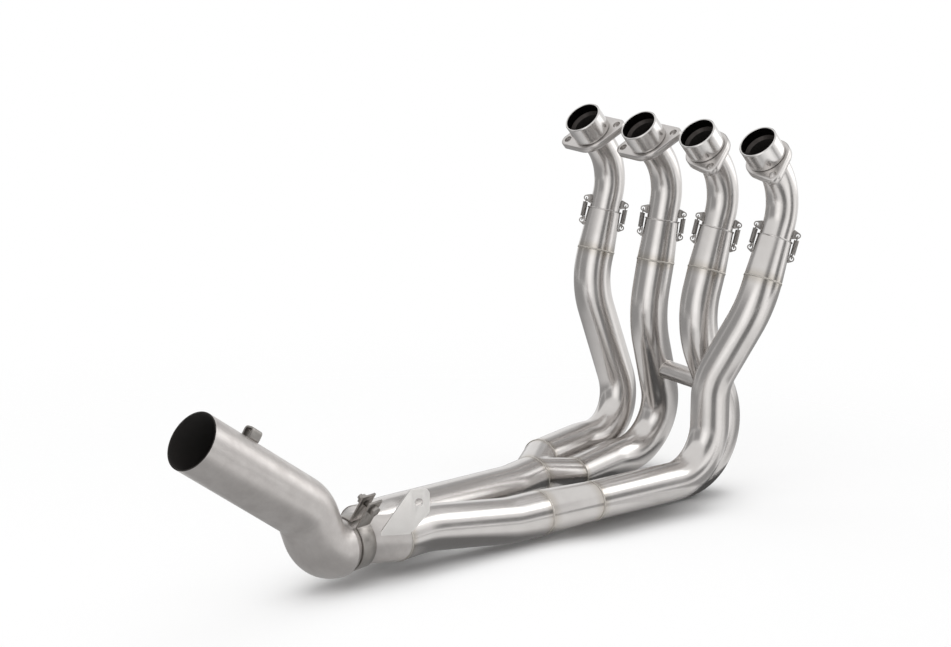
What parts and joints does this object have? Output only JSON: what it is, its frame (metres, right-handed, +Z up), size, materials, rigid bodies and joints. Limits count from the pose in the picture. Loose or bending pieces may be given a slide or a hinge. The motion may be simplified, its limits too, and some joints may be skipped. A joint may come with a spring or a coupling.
{
  "type": "motorcycle exhaust header",
  "caption": "Exhaust header for an inline-four motorcycle: bent primaries join in pairs, then in one collector, and leave by a raised link pipe; loose inlet flanges, sprung slip joints.",
  "frame": {"origin": "on the floor, under the middle of the header's bounding box", "axes": "+X towards the front of the bike, +Y to its left, +Z up; the outlet points to the rear and up"},
  "size_m": [0.7799, 0.327, 0.4147],
  "materials": {
    "tube_steel": "satin",
    "turned_steel": "turned",
    "blasted_steel": "bead blasted",
    "spring_steel": "drawn wire",
    "clamp_steel": "satin"
  },
  "bodies": {
    "header": {"inlet_collar_1": "turned_steel", "upper_primary_1": "tube_steel", "slip_socket_1": "tube_steel", "inlet_collar_2": "turned_steel", "upper_primary_2": "tube_steel", "slip_socket_2": "tube_steel", "inlet_collar_3": "turned_steel", "upper_primary_3": "tube_steel", "slip_socket_3": "tube_steel", "inlet_collar_4": "turned_steel", "upper_primary_4": "tube_steel", "slip_socket_4": "tube_steel", "merge_collector_left": "tube_steel", "merge_collector_right": "tube_steel", "lower_primary_1": "tube_steel", "lower_primary_2": "tube_steel", "lower_primary_3": "tube_steel", "lower_primary_4": "tube_steel", "crossover_tube": "tube_steel", "final_collector": "blasted_steel", "secondary_tube_left": "tube_steel", "secondary_tube_right": "tube_steel", "link_pipe": "blasted_steel", "strap_hook": "blasted_steel", "clamp_band": "clamp_steel", "clamp_bolt": "clamp_steel", "clamp_nut": "clamp_steel", "bracket_plate": "blasted_steel", "spring_hooks_1": "spring_steel", "slip_springs_1": "spring_steel", "spring_hooks_2": "spring_steel", "slip_springs_2": "spring_steel", "spring_hooks_3": "spring_steel", "slip_springs_3": "spring_steel", "spring_hooks_4": "spring_steel", "slip_springs_4": "spring_steel"},
    "flange_1": {"inlet_flange_1": "turned_steel"},
    "flange_2": {"inlet_flange_2": "turned_steel"},
    "flange_3": {"inlet_flange_3": "turned_steel"},
    "flange_4": {"inlet_flange_4": "turned_steel"}
  },
  "joints": [
    {"name": "flange_1_swivel", "type": "hinge", "parent": "header", "child": "flange_1", "pos_m": [0.31666, 0.1279, 0.401], "axis": [0.6626, 0, -0.749], "continuous": true},
    {"name": "flange_2_swivel", "type": "hinge", "parent": "header", "child": "flange_2", "pos_m": [0.31666, 0.0409, 0.401], "axis": [0.6626, 0, -0.749], "continuous": true},
    {"name": "flange_3_swivel", "type": "hinge", "parent": "header", "child": "flange_3", "pos_m": [0.31666, -0.0461, 0.401], "axis": [0.6626, 0, -0.749], "continuous": true},
    {"name": "flange_4_swivel", "type": "hinge", "parent": "header", "child": "flange_4", "pos_m": [0.31666, -0.1331, 0.401], "axis": [0.6626, 0, -0.749], "continuous": true}
  ]
}
